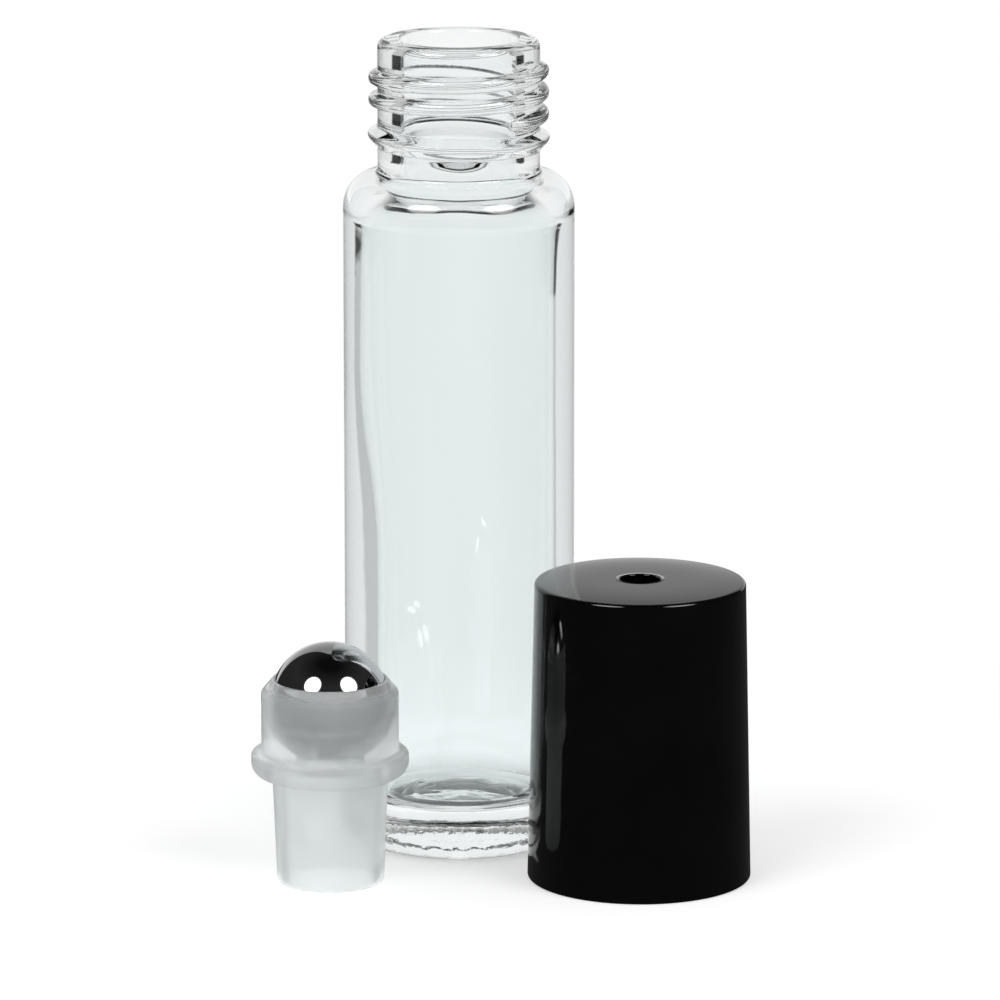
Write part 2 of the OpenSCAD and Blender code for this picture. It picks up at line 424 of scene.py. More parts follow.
def waves(z, angle, seed, count=9, length=30.0):
    """Smooth unevenness between about -1 and 1 over angle and height."""
    rng = np.random.default_rng(seed)
    total = np.zeros(np.broadcast(z, angle).shape)
    for _ in range(count):
        n = rng.integers(*WAVES_ROUND)
        phase, drift = rng.uniform(0, 2 * math.pi, 2)
        pull = rng.normal(0, WAVES_LEAN)
        total += np.cos(n * np.radians(angle) + phase + pull * z / length) * math.cos(drift)
    return total / math.sqrt(count)


def stipple(z, angle, seed, count=40, cell=0.55):
    """Fine grain between about -1 and 1 on the outside of the body, its cells a set size apart."""
    rng = np.random.default_rng(seed)
    total = np.zeros(np.broadcast(z, angle).shape)
    most = math.pi * BODY_R / cell
    for _ in range(count):
        n = int(rng.uniform(*GRAIN_SHARES) * most)
        pull = rng.uniform(-1, 1) * math.pi / cell
        total += np.cos(n * np.radians(angle) + pull * z + rng.uniform(0, 2 * math.pi))
    return total * math.sqrt(2 / count)


# Pieces


def bottle_outline():
    """The bottle's outline, from under its foot over the outside, through the neck and down to its floor."""
    root_z = SHOULDER_Z + math.sqrt(SHOULDER_R**2 + 2 * SHOULDER_R * ROOT_R)
    root_a = math.degrees(math.atan2(root_z - SHOULDER_Z, ROOT_R))
    dome_r = (PUNT_R**2 + PUNT_H**2) / (2 * PUNT_H)
    dome_a = math.degrees(math.asin(PUNT_R / dome_r))
    corner_z = FLOOR_T + FLOOR_FILLET_R
    throat = arc(BORE_R + THROAT_R, THROAT_Z, THROAT_R, 180, 270 - FUNNEL_SLOPE, CAVE_PARTS)
    crown = arc(CAVE_R - CROWN_R, CROWN_Z, CROWN_R, 90 - FUNNEL_SLOPE, 0, CAVE_PARTS)
    return chain(
        ("dome", arc(0, PUNT_H - dome_r, dome_r, 90, 90 - dome_a, DOME_PARTS)),
        ("foot", line((PUNT_R, 0), (BODY_R - HEEL_R, 0), FOOT_STEP)),
        ("heel", arc(BODY_R - HEEL_R, HEEL_R, HEEL_R, -90, 0, HEEL_PARTS)),
        ("wall", line((BODY_R, HEEL_R), (BODY_R, SHOULDER_Z), WALL_STEP)),
        ("shoulder", arc(NECK_R, SHOULDER_Z, SHOULDER_R, 0, root_a, SHOULDER_PARTS)),
        ("root", arc(NECK_R + ROOT_R, root_z, ROOT_R, 180 + root_a, 180, FILLET_PARTS)),
        ("collar", line((NECK_R, root_z), (NECK_R, RELIEF_LOW), RING_STEP)),
        ("neck", line((NECK_R, RELIEF_LOW), (NECK_R, RELIEF_HIGH), THREAD_STEP)),
        ("lip", line((NECK_R, RELIEF_HIGH), (NECK_R, BOTTLE_H - RIM_R), RING_STEP)),
        ("rim", arc(NECK_R - RIM_R, BOTTLE_H - RIM_R, RIM_R, 0, 90, RIM_PARTS)),
        ("top", line((NECK_R - RIM_R, BOTTLE_H), (BORE_R + MOUTH_R, BOTTLE_H), RIM_STEP)),
        ("mouth", arc(BORE_R + MOUTH_R, BOTTLE_H - MOUTH_R, MOUTH_R, 90, 180, FILLET_PARTS)),
        ("bore", line((BORE_R, BOTTLE_H - MOUTH_R), (BORE_R, THROAT_Z), BORE_STEP)),
        ("throat", throat),
        ("funnel", line(throat[-1], crown[0], RIM_STEP)),
        ("crown", crown),
        ("inside", line((CAVE_R, CROWN_Z), (CAVE_R, corner_z), CAVE_STEP)),
        ("corner", arc(FLOOR_FLAT_R, corner_z, FLOOR_FILLET_R, 0, -90, CAVE_PARTS)),
        ("floor", line((FLOOR_FLAT_R, FLOOR_T), (0, FLOOR_T), FLOOR_STEP)),
    )


def raise_thread(r, z, angle, neck):
    """Lifts the thread and the bead off the rows of the neck, both leaning a little."""
    level = z[neck] + LEAN_H * np.cos(np.radians(angle))
    thread = ridge(level, angle, RIDGE_H, RIDGE_W, TURNS, THREAD_ANGLE, THREAD_Z + THREAD_RISE)
    relief = np.maximum(thread, bead(level))

    # Between equal heights the blend adds a quarter of its width
    r[neck] += larger(relief, 0 * thread, ROOT_BLEND) - ROOT_BLEND / 4


def waver_wall(r, z, angle, inner):
    """Makes the wall inside uneven, and thicker on one side."""
    aside = (angle - THICK_SIDE + 180) % 360 - 180
    thick = THICK_T * np.exp(-((aside / THICK_WIDTH) ** 2)) * ease(-z[inner], -THICK_HIGH, -THICK_LOW)
    calm = ease(CROWN_Z - z[inner], 0, CALM_H)
    r[inner] += (WALL_WAVE * calm * waves(z[inner], angle, WALL_SEED) - thick) * ease(r[inner], 0, CAVE_R)


def waver_shoulder(r, z, angle, under):
    """Makes the funnel inside the shoulder uneven."""
    calm = ease(z[under] - CROWN_Z, 0, CROWN_R / 2) * ease(r[under] - BORE_R, 0, CALM_R)
    z[under] += SHOULDER_WAVE * calm * waves(r[under], angle, SHOULDER_SEED, length=SHOULDER_WAVE_L)


def waver_floor(r, z, angle, floor):
    """Makes the floor inside uneven."""
    wave = FLOOR_WAVE * waves(r[floor], angle, FLOOR_SEED, length=FLOOR_WAVE_L)
    z[floor] += wave * ease(r[floor], 0, FLOOR_FLAT_R)


def crease_floor(r, z, angle, bowl):
    """Raises the round crease in the floor inside."""
    x, y = r[bowl] * np.cos(np.radians(angle)), r[bowl] * np.sin(np.radians(angle))
    off = np.hypot(x - CREASE_AT, y)
    z[bowl] += CREASE_H * np.exp(-(((off - CREASE_R) / CREASE_W) ** 2))


def grain_heel(r, z, angle, heel):
    """Cuts the grain into the heel."""
    grain = HEEL_WAVE * stipple(z[heel], angle, HEEL_SEED) * ease(-z[heel], -HEEL_R, -HEEL_R / 3)
    r[heel] -= grain * ease(r[heel], PUNT_R, BODY_R - HEEL_R)


def make_bottle():
    outline, spans = bottle_outline()

    def rows(first, last):
        return slice(spans[first].start, spans[last].stop)

    def shape(r, z, angle):
        raise_thread(r, z, angle, rows("neck", "neck"))
        waver_wall(r, z, angle, rows("inside", "floor"))
        waver_shoulder(r, z, angle, rows("throat", "crown"))
        waver_floor(r, z, angle, rows("floor", "floor"))
        crease_floor(r, z, angle, rows("corner", "floor"))
        grain_heel(r, z, angle, rows("foot", "heel"))
        return r, z

    return revolve("bottle_glass", outline, centre_mm("glass_bottle"), BOTTLE_SEGMENTS, shape)


def make_housing():
    lip_a = math.degrees(math.atan2(LIP_H, LIP_IN_R))
    feed_a = math.degrees(math.atan2(SOCKET_FOOT_Z - BALL_Z, FEED_R))
    low_z = PLUG_L + FLANGE_LOW_R
    high_z = FLANGE_TOP - FLANGE_TOP_R
    bend_z = LIP_Z - CUP_SLOPE_H - EDGE_R
    bend = arc(CUP_R - EDGE_R, bend_z, EDGE_R, 0, BEND_ANGLE, BEND_PARTS)
    foot = (PLUG_END_R - PLUG_WALL, RING_GAP)
    outline, _ = chain(
        ("foot", line((PLUG_END_R - PLUG_WALL, 0), (PLUG_END_R - EDGE_R, 0), RIM_STEP)),
        ("edge", arc(PLUG_END_R - EDGE_R, EDGE_R, EDGE_R, -90, 0, EDGE_PARTS)),
        ("plug", line((PLUG_END_R, EDGE_R), (PLUG_R, PLUG_L), PLUG_STEP)),
        ("seat", line((PLUG_R, PLUG_L), (FLANGE_R - FLANGE_LOW_R, PLUG_L), RING_STEP)),
        ("low", arc(FLANGE_R - FLANGE_LOW_R, low_z, FLANGE_LOW_R, -90, 0, RIM_PARTS)),
        ("side", line((FLANGE_R, low_z), (FLANGE_R, high_z), RIM_STEP)),
        ("high", arc(FLANGE_R - FLANGE_TOP_R, high_z, FLANGE_TOP_R, 0, 90, FILLET_PARTS)),
        ("ledge", arc(CUP_R + EDGE_R, FLANGE_TOP + EDGE_R, EDGE_R, 270, 180, EDGE_PARTS)),
        ("cup", line((CUP_R, FLANGE_TOP + EDGE_R), (CUP_R, bend_z), CUP_STEP)),
        ("bend", bend),
        ("slope", line(bend[-1], (LIP_R, LIP_Z), RIM_STEP)),
        ("lip", line((LIP_R, LIP_Z), (LIP_IN_R, LIP_Z), LIP_STEP, LIP_END_STEP)),
        ("socket", arc(0, BALL_Z, SOCKET_R, lip_a, feed_a, SOCKET_PARTS)),
        ("feed", line((FEED_R, SOCKET_FOOT_Z), (FEED_R, WEB_Z), RING_STEP)),
        ("web", line((FEED_R, WEB_Z), (PLUG_R - PLUG_WALL, WEB_Z), RING_STEP)),
        ("inside", line((PLUG_R - PLUG_WALL, WEB_Z), foot, PLUG_STEP)),
    )
    return revolve("roller_shell", outline, centre_mm("roller_housing"), FITMENT_SEGMENTS, ring=True)


def make_ball():
    outline, _ = chain(
        ("top", [(0, BALL_Z + BALL_R)]),
        ("side", arc(0, BALL_Z, BALL_R, POLE_ANGLE, -POLE_ANGLE, BALL_PARTS)),
        ("foot", [(0, BALL_Z - BALL_R)]),
    )
    return revolve("steel_ball", outline, centre_mm("roller_ball"), FITMENT_SEGMENTS)


def make_cap():
    dimple_r = DIMPLE_R - DIMPLE_FOOT_R
    side_z = CAP_EDGE_Z - CAP_EDGE_R
    corner_r = CAP_UPPER_R - CAP_CORNER_R
    corner_z = CAP_CEILING_Z - CAP_CORNER_R
    outline, spans = chain(
        ("dimple", line((0, DIMPLE_Z), (dimple_r, DIMPLE_Z), RING_STEP)),
        ("dimple_foot", arc(dimple_r, DIMPLE_Z + DIMPLE_FOOT_R, DIMPLE_FOOT_R, -90, 0, FILLET_PARTS)),
        ("dimple_edge", arc(DIMPLE_MOUTH_R, CAP_H - DIMPLE_EDGE_R, DIMPLE_EDGE_R, 180, 90, FILLET_PARTS)),
        ("top", cap_dome()),
        ("edge", arc(CAP_FLAT_R, side_z, CAP_EDGE_R, 90, 0, CAP_EDGE_PARTS)),
        ("side", line((CAP_TOP_R, side_z), (CAP_R, EDGE_R), CAP_WALL_STEP)),
        ("foot", arc(CAP_R - EDGE_R, EDGE_R, EDGE_R, 0, -90, EDGE_PARTS)),
        ("rim", line((CAP_R - EDGE_R, 0), (CAP_BORE_R + CAP_MOUTH_C, 0), RIM_STEP)),
        ("chamfer", line((CAP_BORE_R + CAP_MOUTH_C, 0), (CAP_BORE_R, CAP_MOUTH_C), NARROW_STEP)),
        ("bore", line((CAP_BORE_R, CAP_MOUTH_C), (CAP_BORE_R, CAP_STEP_Z), CAP_THREAD_STEP)),
        ("step", line((CAP_BORE_R, CAP_STEP_Z), (CAP_UPPER_R, CAP_STEP_TOP), RIM_STEP)),
        ("upper", line((CAP_UPPER_R, CAP_STEP_TOP), (CAP_UPPER_R, corner_z), CAP_WALL_STEP)),
        ("corner", arc(corner_r, corner_z, CAP_CORNER_R, 0, 90, FILLET_PARTS)),
        ("ceiling", line((corner_r, CAP_CEILING_Z), (SEAL_R, CAP_CEILING_Z), CUP_STEP)),
        ("seal", line((SEAL_R, CAP_CEILING_Z), (SEAL_R, SEAL_Z), RIM_STEP)),
        ("seal_end", line((SEAL_R, SEAL_Z), (SEAL_IN_R, SEAL_Z), NARROW_STEP)),
        ("seal_in", line((SEAL_IN_R, SEAL_Z), (SEAL_IN_R, CAP_CEILING_Z), RIM_STEP)),
        ("middle", line((SEAL_IN_R, CAP_CEILING_Z), (0, CAP_CEILING_Z), MIDDLE_STEP)),
    )

    def shape(r, z, angle):
        bore = spans["bore"]
        r[bore] -= ridge(z[bore], angle, CAP_RIDGE_H, CAP_RIDGE_W, CAP_TURNS, CAP_THREAD_ANGLE, CAP_THREAD_Z)
        return r, z

    return revolve("cap_shell", outline, centre_mm("screw_cap"), CAP_SEGMENTS, shape)


# Materials


class Nodes:
    """Short ways to make and join the nodes of a material or world."""

    def __init__(self, tree):
        self.tree = tree
        tree.nodes.clear()

    def add(self, kind, inputs=None, **settings):
        node = self.tree.nodes.new(kind)
        for key, value in settings.items():
            setattr(node, key, value)
        for key, value in (inputs or {}).items():
            if isinstance(value, bpy.types.NodeSocket):
                self.tree.links.new(value, node.inputs[key])
            else:
                node.inputs[key].default_value = value
        return node

    def math(self, operation, *values):
        return self.add("ShaderNodeMath", dict(enumerate(values)), operation=operation).outputs[0]

    def times(self, *values):
        product = values[0]
        for value in values[1:]:
            product = self.math("MULTIPLY", product, value)
        return product

    def plus(self, *values):
        total = values[0]
        for value in values[1:]:
            total = self.math("ADD", total, value)
        return total

    def rest(self, value):
        """What is left of 1."""
        return self.math("SUBTRACT", 1.0, value)

    def between(self, value, low, high, edge):
        """1 from low to high and 0 outside, with soft edges."""
        rise = self.smooth(value, low - edge, low + edge)
        fall = self.smooth(value, high + edge, high - edge)
        return self.times(rise, fall)

    def blend(self, factor, a, b):
        """a where factor is 0 and b where it is 1."""
        return self.plus(self.times(self.rest(factor), a), self.times(factor, b))

    def rays(self):
        """What kind of ray arrives: from the camera, straight through glass, through glass after it was
        turned by a reflection, or off something glossy."""
        light = self.add("ShaderNodeLightPath").outputs
        sharp = self.rest(light["Is Diffuse Ray"])
        through = self.times(light["Is Transmission Ray"], sharp)
        turn = self.math("MINIMUM", light["Glossy Depth"], 1.0)
        turned = self.times(through, turn)
        straight = self.times(through, self.rest(turn))
        mirrored = self.times(light["Is Glossy Ray"], sharp, self.rest(light["Is Transmission Ray"]))
        return light["Is Camera Ray"], straight, turned, mirrored

    def ramp(self, value, stops):
        """A colour or grey by a value, straight between the stops."""
        node = self.add("ShaderNodeValToRGB", {0: value})
        elements = node.color_ramp.elements
        while len(elements) < len(stops):
            elements.new(0.5)
        for element, (at, colour) in zip(elements, stops):
            element.position = at
            element.color = colour if isinstance(colour, tuple) else (colour, colour, colour, 1)
        return node.outputs[0]

    def smooth(self, value, low, high, out_low=0.0, out_high=1.0):
        """value from low to high becomes out_low to out_high, eased at both ends."""
        inputs = {0: value, 1: low, 2: high, 3: out_low, 4: out_high}
        return self.add("ShaderNodeMapRange", inputs, interpolation_type="SMOOTHSTEP").outputs[0]

    def noise(self, vector, scale, detail, roughness=0.5):
        inputs = {"Vector": vector, "Scale": scale, "Detail": detail, "Roughness": roughness}
        return self.add("ShaderNodeTexNoise", inputs).outputs["Fac"]

    def place(self):
        """Place on the piece, in metres."""
        return self.add("ShaderNodeTexCoord").outputs["Object"]

    def height(self, place):
        return self.add("ShaderNodeSeparateXYZ", {0: place}).outputs[2]

    def squeezed(self, vector, share):
        """The same place with its height cut down, so that a noise is drawn out upright."""
        scale = {0: vector, 1: (1.0, 1.0, share)}
        return self.add("ShaderNodeVectorMath", scale, operation="MULTIPLY").outputs[0]

    def bump(self, height, distance):
        """Relief that only the shading shows, its full height being distance."""
        inputs = {"Height": height, "Distance": distance, "Strength": 1.0}
        return self.add("ShaderNodeBump", inputs).outputs[0]

    def mix(self, factor, a, b):
        return self.add("ShaderNodeMixShader", {0: factor, 1: a, 2: b}).outputs[0]

    def glow(self, strength):
        return self.add("ShaderNodeEmission", {"Strength": strength}).outputs[0]

    def clear_in_shadow(self, surface, colour):
        """The surface, but plain clear to the rays that look for a light."""
        light = self.add("ShaderNodeLightPath")
        clear = self.add("ShaderNodeBsdfTransparent", {0: colour})
        return self.mix(light.outputs["Is Shadow Ray"], surface, clear.outputs[0])


def new_material(name):
    """An empty material, and the way to add its nodes."""
    material = bpy.data.materials.new(name)
    material.use_nodes = True
    return material, Nodes(material.node_tree)


# The span that most values of a noise lie in
NOISE_SPAN = (0.3, 0.7)

# Glass: a fine skin, upright streaks, speckle up to a height and a lighter tint in the thin neck
SKIN_SCALE = 180.0
STREAK_SCALE = 260.0
STREAK_SHARE = 0.12
SPECKLE = 1.5
SPECKLE_SCALE = 1700.0
SPECKLE_TOP = (0.0026, 0.0036)
THIN_GLASS = (0.054, 0.06)
THIN_GAIN = 0.4
GLASS_TINTS = [
    (0.35, (0.936, 0.976, 0.976, 1)),
    (0.65, (0.954, 0.992, 0.992, 1)),
    (0.95, (0.985, 0.998, 0.998, 1)),
]
GLASS_IOR = 1.5
GLASS_RELIEF = 0.00002
GLASS_SHADOW = (0.93, 0.95, 0.95, 1)


def glass_material():
    """Clear glass, tinted less in the neck, with speckle round the heel."""
    material, n = new_material("clear_glass")
    place = n.place()
    height = n.height(place)
    skin = n.noise(place, SKIN_SCALE, 2.0)
    speckle = n.times(n.noise(place, SPECKLE_SCALE, 2.0), n.smooth(height, *SPECKLE_TOP, SPECKLE, 0.0))
    streaks = n.noise(n.squeezed(place, STREAK_SHARE), STREAK_SCALE, 4.0)
    thin = n.smooth(height, *THIN_GLASS, 0.0, THIN_GAIN)
    shader = n.add(
        "ShaderNodeBsdfPrincipled",
        {
            "Base Color": n.ramp(n.plus(streaks, thin), GLASS_TINTS),
            "Roughness": 0.0,
            "IOR": GLASS_IOR,
            "Transmission Weight": 1.0,
            "Normal": n.bump(n.plus(skin, speckle), GLASS_RELIEF),
        },
    )
    surface = n.clear_in_shadow(shader.outputs[0], GLASS_SHADOW)
    n.add("ShaderNodeOutputMaterial", {"Surface": surface})
    return material


# Milky plastic: cloudy through and through but clearer in the lip, and finely grained
MILK_TINTS = ((0.96, 0.99, 0.99, 1), (0.985, 0.998, 0.998, 1))
MILK_SCALE = 250.0
MILK_TRANSLUCENT = (0.12, 0.28)
MILK_CLEAR = 0.85
MILK_ROUGHNESS = 0.35
MILK_IOR = 1.15
MILK_GRAIN_SCALE = 900.0
MILK_RELIEF = 0.00001
MILK_SHADOW = (0.9, 0.92, 0.92, 1)
LIP_CLEAR = (0.0168, 0.0172)
LIP_ROUGHNESS = 0.12
LIP_TRANSLUCENT = 0.15


def milky_material():
    """Cloudy plastic, clearer in the thin lip round the ball."""
    material, n = new_material("milky_plastic")
    place = n.place()
    height = n.height(place)
    cloud = n.noise(place, MILK_SCALE, 5.0, roughness=0.6)
    colour = n.ramp(cloud, list(zip(NOISE_SPAN, MILK_TINTS)))
    grain = n.bump(n.noise(place, MILK_GRAIN_SCALE, 2.0), MILK_RELIEF)
    shader = n.add(
        "ShaderNodeBsdfPrincipled",
        {
            "Base Color": colour,
            "Roughness": n.smooth(height, *LIP_CLEAR, MILK_ROUGHNESS, LIP_ROUGHNESS),
            "IOR": MILK_IOR,
            "Transmission Weight": MILK_CLEAR,
            "Normal": grain,
        },
    )
    through = n.add("ShaderNodeBsdfTranslucent", {"Color": colour, "Normal": grain})
    lip = n.smooth(height, *LIP_CLEAR, 1.0, LIP_TRANSLUCENT)
    share = n.times(n.smooth(cloud, *NOISE_SPAN, *MILK_TRANSLUCENT), lip)
    cloudy = n.mix(share, shader.outputs[0], through.outputs[0])
    surface = n.clear_in_shadow(cloudy, MILK_SHADOW)
    n.add("ShaderNodeOutputMaterial", {"Surface": surface})
    return material


# Steel: its colour, and a haze on its polish
STEEL_COLOUR = (0.48, 0.48, 0.49, 1)
HAZE_SCALE = 500.0
HAZE_ROUGHNESS = (0.02, 0.05)


def steel_material():
    """Polished steel with a faint haze."""
    material, n = new_material("polished_steel")
    haze = n.noise(n.place(), HAZE_SCALE, 4.0)
    shader = n.add(
        "ShaderNodeBsdfPrincipled",
        {
            "Base Color": STEEL_COLOUR,
            "Metallic": 1.0,
            "Roughness": n.smooth(haze, *NOISE_SPAN, *HAZE_ROUGHNESS),
        },
    )
    n.add("ShaderNodeOutputMaterial", {"Surface": shader.outputs[0]})
    return material


# Black plastic: faint clouds in its colour and gloss, and a very fine grain
BLACKS = (0.001, 0.002)
BLACK_SCALE = 160.0
BLACK_ROUGHNESS = (0.05, 0.10)
BLACK_IOR = 1.45
BLACK_GRAIN_SCALE = 3000.0
BLACK_RELIEF = 0.000002


def cap_material():
    """Glossy black plastic."""
    material, n = new_material("black_plastic")
    place = n.place()
    cloud = n.noise(place, BLACK_SCALE, 4.0)
    grain = n.noise(place, BLACK_GRAIN_SCALE, 2.0)
    shader = n.add(
        "ShaderNodeBsdfPrincipled",
        {
            "Base Color": n.ramp(cloud, list(zip(NOISE_SPAN, BLACKS))),
            "Roughness": n.smooth(cloud, *NOISE_SPAN, *BLACK_ROUGHNESS),
            "IOR": BLACK_IOR,
            "Normal": n.bump(grain, BLACK_RELIEF),
        },
    )
    n.add("ShaderNodeOutputMaterial", {"Surface": shader.outputs[0]})
    return material


# Studio

# Table, and the even light of the surround on all that is neither glass nor gloss
TABLE_R = 0.258
TABLE_RINGS = 24
TABLE_SEGMENTS = 96
DAY = 0.55

# Two round lamps, and how large and bright gloss shows them
LAMP_DIRECTIONS = ((-0.518, -0.571, 0.638), (0.597, -0.512, 0.615))
LAMP_DISTANCE = 2.0
LAMP_SPREAD = math.radians(17)
LAMP_SEEN = math.radians(14.5)
LAMP_SOFT = 0.2
LAMP_RADIANCE = 3.7
LAMP_MIRRORED = 8.0

# Paper on the table: its grey and glow, where it turns plain white, and how bright gloss shows it, which is
# painted shade
PAPER = 0.78
PAPER_LIFT = 0.36
PAPER_NEAR = 0.025
PAPER_FAR = 0.08
PAPER_MIRRORED = 0.05

# Brightness of the paper behind and of the dark room, by the share of the way from straight down to up
PAPER_STOPS = [(0.5, 1.0), (0.578, 0.62), (0.683, 0.48), (0.756, 0.38), (0.817, 0.45), (0.85, 0.45)]
ROOM_STOPS = [(0.5, 0.03), (0.71, 0.04), (0.844, 0.018), (0.92, 0.007)]

# The paper behind in degrees: its top, a place aside and how much lower it ends there, and its soft edge
PAPER_TOP = 63.0
PAPER_ASIDE = 30.0
PAPER_FALL = 35.0
PAPER_EDGE = (-1.0, 1.5)

# Soft edge of the horizon, in degrees
HORIZON = (0.5, -1.0)

# Black flags beside the white background, as azimuths from straight behind, and what glass shows of them
FLAG_LEFT = (-62.0, -34.0)
FLAG_RIGHT = (44.0, 58.0)
FLAG_RIGHT_GREY = 0.1
FLAG_EDGE = 1.5
# How black the flags are low down, which is also the depth of the painted shade on the table at their
# azimuths, growing from a near to a far distance
FLAG_LOW = 0.45
FLAG_NEAR = 0.06
FLAG_FAR = 0.23
FLAG_FOOT = (-10.7, -10.2)
FLAG_HEAD = (1.0, 5.0)

# What glass shows once a reflection inside or beside it has turned the ray; on the table, the grey and black
# outside the white wedge are painted shade
WEDGE = (-38.0, 42.0)
WEDGE_EDGE = 3.0
WEDGE_WHITE = 0.85
WEDGE_GREY = 0.55
WEDGE_OUTER = 66.0
WEDGE_BLACK = 0.005
WEDGE_APEX = 0.012

# What glass shows above the horizon: white round the back and sides, darker overhead and in front
SKY_WHITE = 0.95
SKY_SIDE = (105.0, 125.0)
SKY_FRONT = 0.5
SKY_TOP = (25.0, 50.0)
SKY_OVERHEAD = 0.05

# The white background behind, as a glancing reflection shows it
GLANCE = 15.0
GLANCE_EDGE = 5.0
GLANCE_WHITE = 0.7

# Shade on the table under the bottle, as glass shows it
SHADE_R = (0.0062, 0.0083)
SHADE = 0.85

# Camera, as fitted to the photograph
SENSOR_MM = 36.0
LENS_MM = 257.66
CAMERA_AT = (0.003552, -0.60743, 0.16657)
CAMERA_PITCH = math.radians(77.336)
CLIP = (0.05, 20.0)

# How often light bounces, in glass and elsewhere
GLASS_BOUNCES = 24
PLAIN_BOUNCES = 12


def azimuth(n, x, y):
    """Direction seen from above, in degrees: 0 is straight behind and 90 to the right."""
    return n.math("DEGREES", n.math("ARCTAN2", x, y))


def flags(n, side):
    """How black the flags are at an azimuth."""
    left = n.between(side, *FLAG_LEFT, FLAG_EDGE)
    right = n.between(side, *FLAG_RIGHT, FLAG_EDGE)
    return n.plus(left, n.times(right, 1 - FLAG_RIGHT_GREY))


def wedge(n, side, grey):
    """Brightness of the background at an azimuth for a turned ray, grey beside the white."""
    outside = n.blend(n.between(side, -WEDGE_OUTER, WEDGE_OUTER, WEDGE_EDGE), WEDGE_BLACK, grey)
    return n.blend(n.between(side, *WEDGE, WEDGE_EDGE), outside, WEDGE_WHITE)


def sky(n, side, height):
    """Brightness above the horizon for a ray that comes through glass."""
    round_about = n.smooth(n.math("ABSOLUTE", side), *SKY_SIDE, SKY_WHITE, SKY_FRONT)
    upwards = n.smooth(height, *SKY_TOP, 1.0, SKY_OVERHEAD)
    black = n.times(flags(n, side), n.smooth(height, *FLAG_HEAD, 1.0, 0.0))
    return n.times(round_about, upwards, n.rest(black))


def glance(n, side):
    """Brightness below the horizon at an azimuth for a mirrored ray."""
    return n.blend(n.between(side, -GLANCE, GLANCE, GLANCE_EDGE), PAPER_MIRRORED, GLANCE_WHITE)


def table_material():
    """White paper, and what glass and gloss show of it, with painted shade under the bottle, at the flags'
    azimuths and away from straight behind.
    """
    material, n = new_material("white_table")
    place = n.place()
    x, y, _ = n.add("ShaderNodeSeparateXYZ", {0: place}).outputs
    away = n.add("ShaderNodeVectorMath", {0: place}, operation="LENGTH").outputs["Value"]
    side = azimuth(n, x, n.plus(y, WEDGE_APEX))
    camera, straight, turned, mirrored = n.rays()
    seen = n.plus(camera, straight)
    diffuse = n.add("ShaderNodeBsdfDiffuse", {"Color": (PAPER, PAPER, PAPER, 1)}).outputs[0]
    near = n.add("ShaderNodeAddShader", {0: diffuse, 1: n.glow(n.times(seen, PAPER_LIFT))}).outputs[0]
    shade = n.times(straight, n.smooth(away, *SHADE_R, SHADE, 0.0))
    shaded = n.mix(shade, near, n.glow(0.0))
    # Painted shade: seen through glass, the table turns darker at the flags' azimuths, more so with distance
    painted_flag_shade = n.times(straight, flags(n, side), n.smooth(away, FLAG_NEAR, FLAG_FAR, 0.0, FLAG_LOW))
    plain = n.smooth(away, PAPER_NEAR, PAPER_FAR)
    shown = n.mix(n.times(seen, plain), shaded, n.glow(n.rest(painted_flag_shade)))
    # Painted shade: to gloss, and to glass after a turn, the table shows dark except in a wedge straight
    # behind
    dim = n.glow(n.plus(n.times(mirrored, glance(n, side)), n.times(turned, wedge(n, side, WEDGE_GREY))))
    surface = n.mix(n.plus(mirrored, turned), shown, dim)
    n.add("ShaderNodeOutputMaterial", {"Surface": surface})
    return material


def make_floor():
    """The table, a flat disc that everything stands on."""
    angle = np.linspace(0, 2 * math.pi, TABLE_SEGMENTS, endpoint=False)
    points = [(0.0, 0.0, 0.0)]
    for ring in range(1, TABLE_RINGS + 1):
        r = TABLE_R * ring / TABLE_RINGS
        points += [(r * math.cos(a), r * math.sin(a), 0.0) for a in angle]
    faces = [(0, 1 + j, 1 + (j + 1) % TABLE_SEGMENTS) for j in range(TABLE_SEGMENTS)]
    rows = np.arange(TABLE_RINGS)
    faces += (quads_between(rows[:-1], rows[1:], TABLE_SEGMENTS)[:, ::-1] + 1).tolist()
    floor = new_mesh("floor", points, faces)
    floor.data.materials.append(table_material())


def studio_view(n, side, height):
    """Brightness of the white paper behind, which narrows upwards, in a dark room."""
    steep = n.math("POWER", n.math("DIVIDE", n.math("ABSOLUTE", side), PAPER_ASIDE), 2.0)
    top = n.math("SUBTRACT", PAPER_TOP, n.times(steep, PAPER_FALL))
    inside = n.smooth(n.math("SUBTRACT", top, height), *PAPER_EDGE)
    share = n.math("DIVIDE", n.math("ADD", height, 90.0), 180.0)
    return n.blend(inside, n.ramp(share, ROOM_STOPS), n.ramp(share, PAPER_STOPS))


def lamp_discs(n, way):
    """How much of a lamp lies in a direction, with soft edges."""
    discs = 0.0
    for direction in LAMP_DIRECTIONS:
        facing = {0: way, 1: Vector(direction).normalized()}
        toward = n.add("ShaderNodeVectorMath", facing, operation="DOT_PRODUCT").outputs["Value"]
        edges = [math.cos(LAMP_SEEN * (1 + part)) for part in (LAMP_SOFT, -LAMP_SOFT)]
        discs = n.plus(n.smooth(toward, *edges), discs)
    return discs


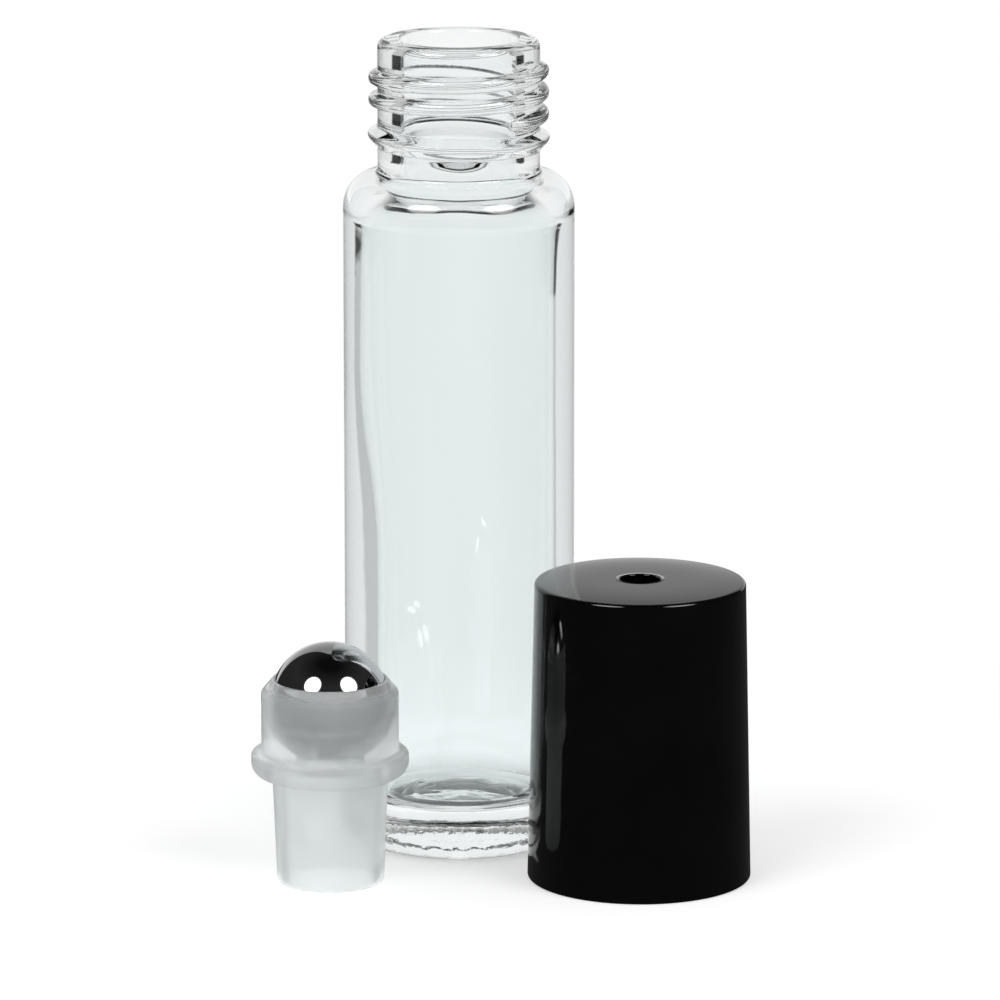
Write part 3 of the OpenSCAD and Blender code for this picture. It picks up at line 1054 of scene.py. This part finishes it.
def make_world():
    """The surround, which looks different to each kind of ray."""
    world = bpy.data.worlds.new("studio")
    bpy.context.scene.world = world
    world.use_nodes = True
    world.cycles.sampling_method = "NONE"
    n = Nodes(world.node_tree)
    way = n.add("ShaderNodeTexCoord").outputs["Generated"]
    x, y, z = n.add("ShaderNodeSeparateXYZ", {0: way}).outputs
    side = azimuth(n, x, y)
    height = n.math("DEGREES", n.math("ARCSINE", z))

    # What glass and gloss show, above and below the horizon
    below = n.smooth(height, *HORIZON)
    above = sky(n, side, height)
    black = n.times(flags(n, side), n.smooth(height, *FLAG_FOOT, FLAG_LOW, 1.0))
    grey = n.smooth(height, *FLAG_FOOT, WEDGE_GREY, WEDGE_BLACK)
    straight_view = n.blend(below, above, n.rest(black))
    turned_view = n.blend(below, above, wedge(n, side, grey))
    mirrored_view = n.blend(below, studio_view(n, side, height), glance(n, side))
    lamps = n.times(lamp_discs(n, way), LAMP_MIRRORED)

    camera, straight, turned, mirrored = n.rays()
    other = n.rest(n.plus(camera, straight, turned, mirrored))
    strength = n.plus(
        camera,
        n.times(straight, straight_view),
        n.times(turned, turned_view),
        n.times(mirrored, n.plus(mirrored_view, lamps)),
        n.times(other, DAY),
    )
    back = n.add("ShaderNodeBackground", {"Color": (1, 1, 1, 1), "Strength": strength})
    n.add("ShaderNodeOutputWorld", {"Surface": back.outputs[0]})


def make_lamps():
    """The two round lamps, which light plain surfaces. Gloss shows them in the surround instead."""
    radius = LAMP_DISTANCE * math.tan(LAMP_SPREAD)
    for number, direction in enumerate(LAMP_DIRECTIONS):
        way = Vector(direction).normalized()
        lamp = bpy.data.lights.new(f"softbox_{number + 1}", "AREA")
        lamp.shape = "DISK"
        lamp.size = 2 * radius
        lamp.energy = LAMP_RADIANCE * math.pi * math.pi * radius**2
        piece = bpy.data.objects.new(lamp.name, lamp)
        piece.location = way * LAMP_DISTANCE
        piece.rotation_euler = way.to_track_quat("Z", "Y").to_euler()
        piece.visible_camera = False
        piece.visible_glossy = False
        piece.visible_transmission = False
        bpy.context.scene.collection.objects.link(piece)


def make_camera():
    data = bpy.data.cameras.new("camera")
    data.sensor_width = SENSOR_MM
    data.lens = LENS_MM
    data.clip_start, data.clip_end = CLIP
    camera = bpy.data.objects.new("camera", data)
    camera.location = CAMERA_AT
    camera.rotation_euler = (CAMERA_PITCH, 0.0, 0.0)
    bpy.context.scene.collection.objects.link(camera)
    bpy.context.scene.camera = camera


def dress(piece, material, node, body):
    """Gives a piece its material and body, in place of a CAD node."""
    piece.data.materials.append(material)
    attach(piece, body)
    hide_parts(node)


scene = bpy.context.scene
scene.view_settings.view_transform = "Standard"
scene.cycles.max_bounces = GLASS_BOUNCES
scene.cycles.transmission_bounces = GLASS_BOUNCES
scene.cycles.transparent_max_bounces = GLASS_BOUNCES
scene.cycles.glossy_bounces = PLAIN_BOUNCES
scene.cycles.diffuse_bounces = PLAIN_BOUNCES

make_camera()
make_world()
make_lamps()
make_floor()
dress(make_bottle(), glass_material(), "glass_bottle", "bottle")
dress(make_housing(), milky_material(), "roller_housing", "housing")
dress(make_ball(), steel_material(), "roller_ball", "ball")
dress(make_cap(), cap_material(), "screw_cap", "cap")
